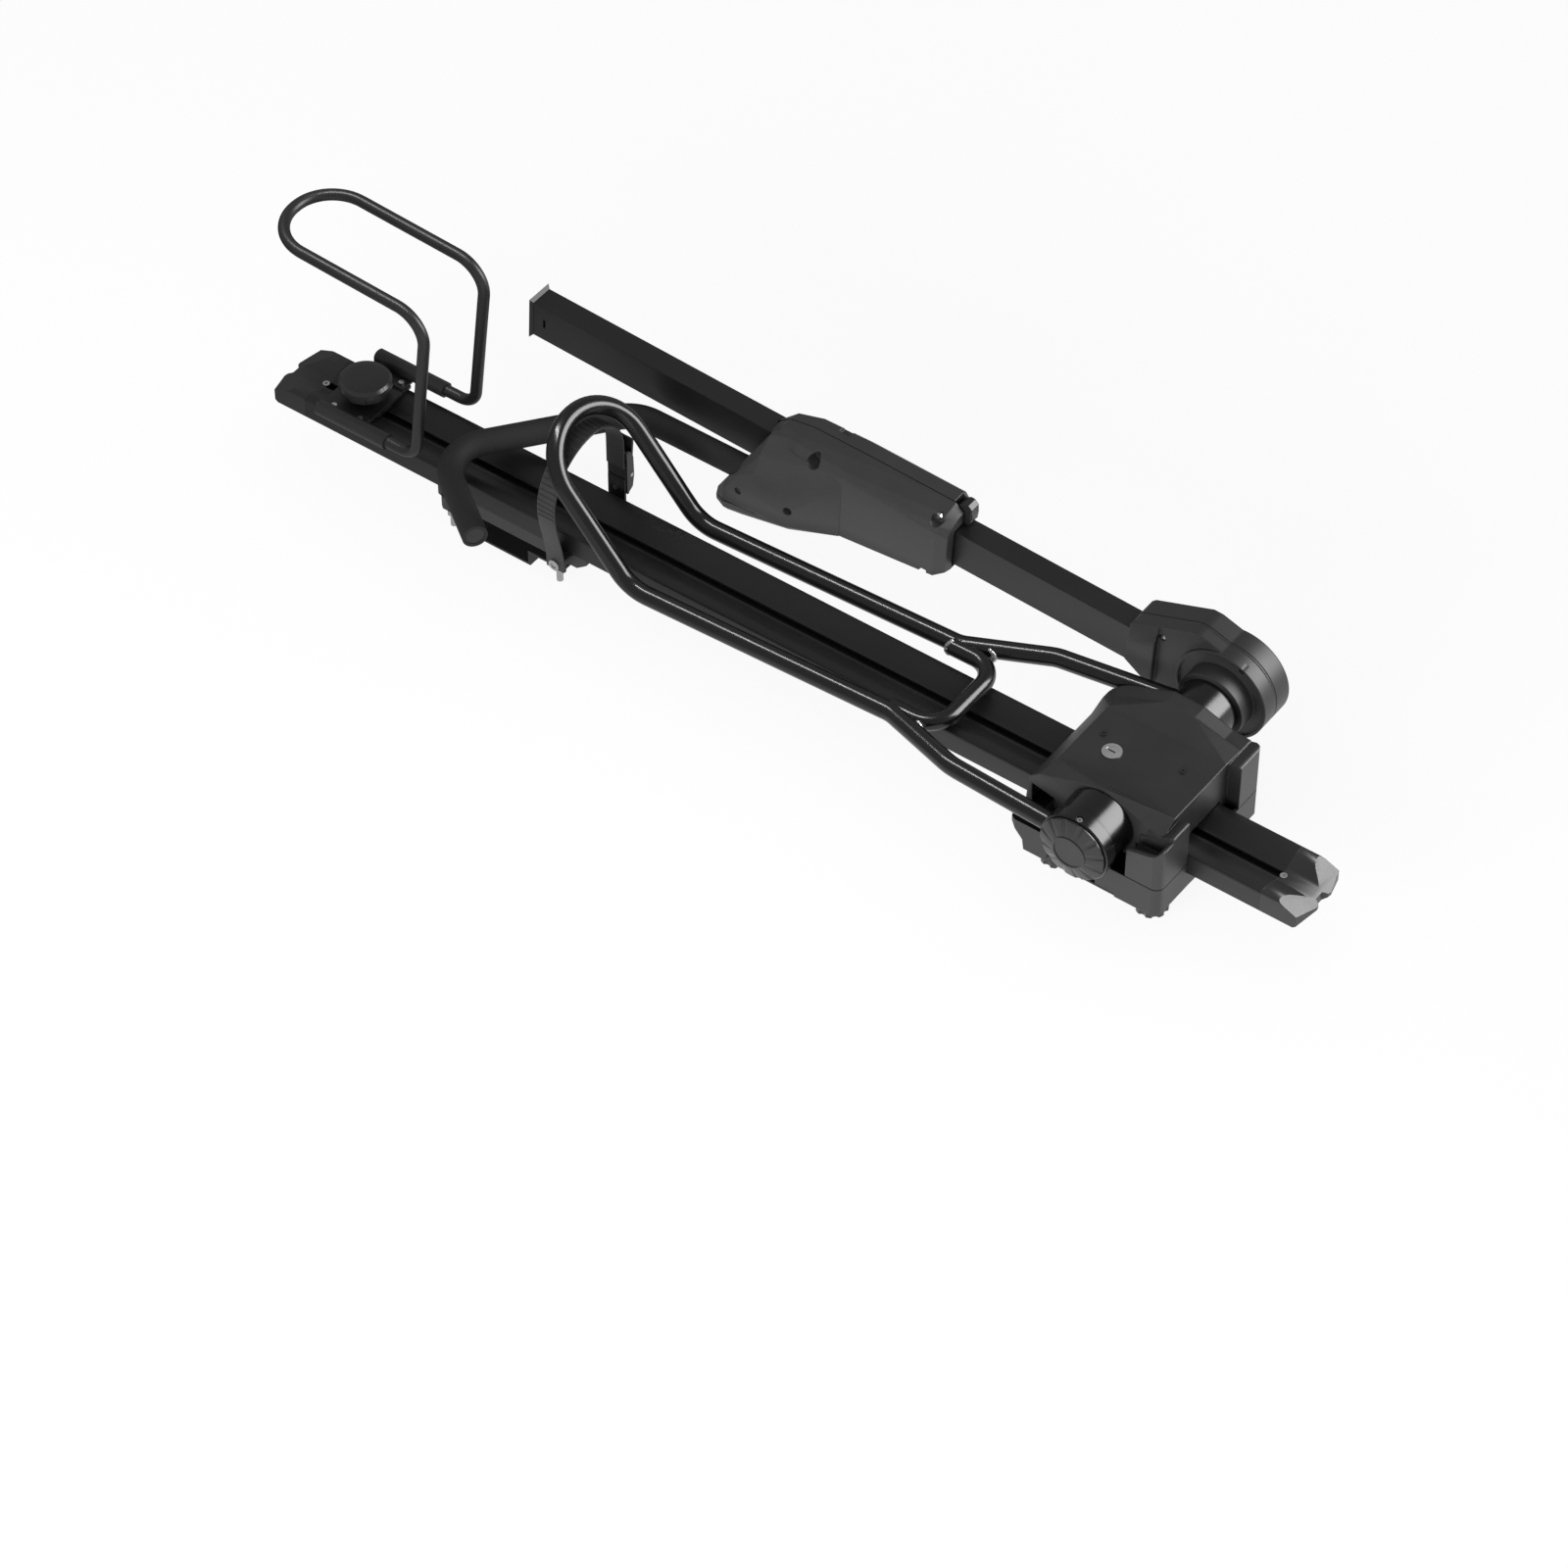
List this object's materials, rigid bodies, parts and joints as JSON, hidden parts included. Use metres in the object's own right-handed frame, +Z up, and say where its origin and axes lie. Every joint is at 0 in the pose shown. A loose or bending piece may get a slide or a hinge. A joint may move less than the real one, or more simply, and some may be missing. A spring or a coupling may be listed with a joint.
{
  "type": "roof mounted bike carrier",
  "caption": "Upright bike carrier for two roof crossbars: slotted wheel tray, folding wheel loop and hook arm, strap and rear wheel hoop",
  "frame": {"origin": "middle of the flat seat on the front crossbar, under the pivot of the arm", "axes": "+X forward along the tray, +Y to the side of the arm, +Z up"},
  "size_m": [1.42, 0.349, 0.3487],
  "materials": {
    "anodised": "satin black anodised extrusion",
    "cap_plastic": "moulded black cap, fine grain",
    "housing_plastic": "fine grained black plastic",
    "clamp_plastic": "grained black plastic",
    "knob_plastic": "smooth dull black plastic",
    "powder_coat": "glossy black powder coat",
    "hoop_coat": "dull black powder coat",
    "arm_coat": "satin black coat",
    "zinc": "bright zinc plated steel",
    "lock_metal": "brushed silver face",
    "dark_steel": "dull black steel",
    "rubber": "matt black rubber",
    "strap_plastic": "flexible black strap",
    "guide_plastic": "dark grey slide plastic",
    "bronze": "plain sintered bush"
  },
  "bodies": {
    "carrier": {"tray": "anodised", "front_end_cap": "cap_plastic", "rear_end_cap": "cap_plastic", "end_cap_screws": "zinc", "base_lower": "housing_plastic", "base_cover": "housing_plastic", "cover_screws": "dark_steel", "seat_pad_front": "rubber", "pivot_bushes": "bronze", "pivot_shaft": "zinc", "shaft_end_nut": "zinc", "lock_barrel": "lock_metal", "front_clamp_bolts": "zinc", "rear_foot": "housing_plastic", "foot_screws": "zinc", "seat_pad_rear": "rubber", "rear_clamp_bolts": "zinc", "strap_bracket": "dark_steel", "strap_bolt": "zinc", "wheel_strap": "strap_plastic", "ratchet_body": "knob_plastic", "ratchet_pin": "zinc", "buckle_bolt": "zinc"},
    "lock": {"lock_plug": "lock_metal"},
    "front_clamp": {"front_jaw": "dark_steel", "front_clamp_nuts": "zinc"},
    "clamp_knob_a": {"front_knob_a": "knob_plastic"},
    "clamp_knob_b": {"front_knob_b": "knob_plastic"},
    "rear_clamp": {"rear_jaw": "dark_steel", "rear_clamp_nuts": "zinc"},
    "wheel_loop": {"loop_frame": "powder_coat", "loop_drum_near": "powder_coat", "loop_drum_far": "powder_coat", "drum_screw": "zinc"},
    "pivot_knob": {"loop_knob": "knob_plastic"},
    "arm": {"pivot_shell_near": "housing_plastic", "pivot_shell_far": "housing_plastic", "pivot_shell_screws": "zinc", "arm_tube": "arm_coat", "arm_end_plug": "cap_plastic"},
    "hook": {"clamp_shell_near": "clamp_plastic", "clamp_shell_far": "clamp_plastic", "clamp_screws": "zinc", "hook_core_tube": "zinc", "hook_sleeve": "rubber", "hook_end_plug": "knob_plastic", "arm_guides": "guide_plastic", "button_spring": "zinc"},
    "button": {"release_button": "knob_plastic", "clamp_pawl": "zinc"},
    "rear_hoop": {"wheel_hoop": "hoop_coat", "slide_plate": "cap_plastic", "hoop_saddles": "cap_plastic", "saddle_screws": "zinc", "slide_stud": "zinc"},
    "hoop_clamp_knob": {"hoop_knob": "knob_plastic"},
    "ratchet": {"ratchet_lever": "knob_plastic"}
  },
  "joints": [
    {"name": "arm_fold", "type": "hinge", "parent": "carrier", "child": "arm", "pos_m": [0, 0.15, 0.0726], "axis": [0, 1, 0], "range_deg": [0, 95]},
    {"name": "hook_slide", "type": "slide", "parent": "arm", "child": "hook", "axis": [-0.9987, 0, 0.0506], "range_m": [-0.05, 0.015]},
    {"name": "button_press", "type": "slide", "parent": "hook", "child": "button", "axis": [-0.9987, 0, 0.0506], "range_m": [0, 0.004], "stiffness_N_per_m": 400, "springref_m": -0.002},
    {"name": "loop_fold", "type": "hinge", "parent": "carrier", "child": "wheel_loop", "pos_m": [0, -0.09, 0.0726], "axis": [0, 1, 0], "range_deg": [0, 95]},
    {"name": "pivot_knob_turn", "type": "hinge", "parent": "carrier", "child": "pivot_knob", "pos_m": [0, -0.129, 0.0726], "axis": [0, 1, 0], "continuous": true},
    {"name": "lock_turn", "type": "hinge", "parent": "carrier", "child": "lock", "pos_m": [-0.032, -0.005, 0.09], "axis": [0, 0, 1], "range_deg": [0, 90]},
    {"name": "front_clamp_travel", "type": "slide", "parent": "carrier", "child": "front_clamp", "axis": [0, 0, 1], "range_m": [-0.01, 0]},
    {"name": "clamp_knob_a_turn", "type": "hinge", "parent": "front_clamp", "child": "clamp_knob_a", "pos_m": [0.062, -0.058, -0.025], "axis": [0, 0, 1], "continuous": true},
    {"name": "clamp_knob_b_turn", "type": "hinge", "parent": "front_clamp", "child": "clamp_knob_b", "pos_m": [-0.062, -0.058, -0.025], "axis": [0, 0, 1], "continuous": true},
    {"name": "rear_clamp_travel", "type": "slide", "parent": "carrier", "child": "rear_clamp", "axis": [0, 0, 1], "range_m": [-0.01, 0]},
    {"name": "hoop_travel", "type": "slide", "parent": "carrier", "child": "rear_hoop", "axis": [1, 0, 0], "range_m": [-0.02, 0.025]},
    {"name": "hoop_knob_turn", "type": "hinge", "parent": "rear_hoop", "child": "hoop_clamp_knob", "pos_m": [-1.068, 0, 0.07], "axis": [0, 0, 1], "continuous": true},
    {"name": "ratchet_turn", "type": "hinge", "parent": "carrier", "child": "ratchet", "pos_m": [-0.75, 0.069, 0.062], "axis": [-1, 0, 0], "range_deg": [0, 110]}
  ]
}
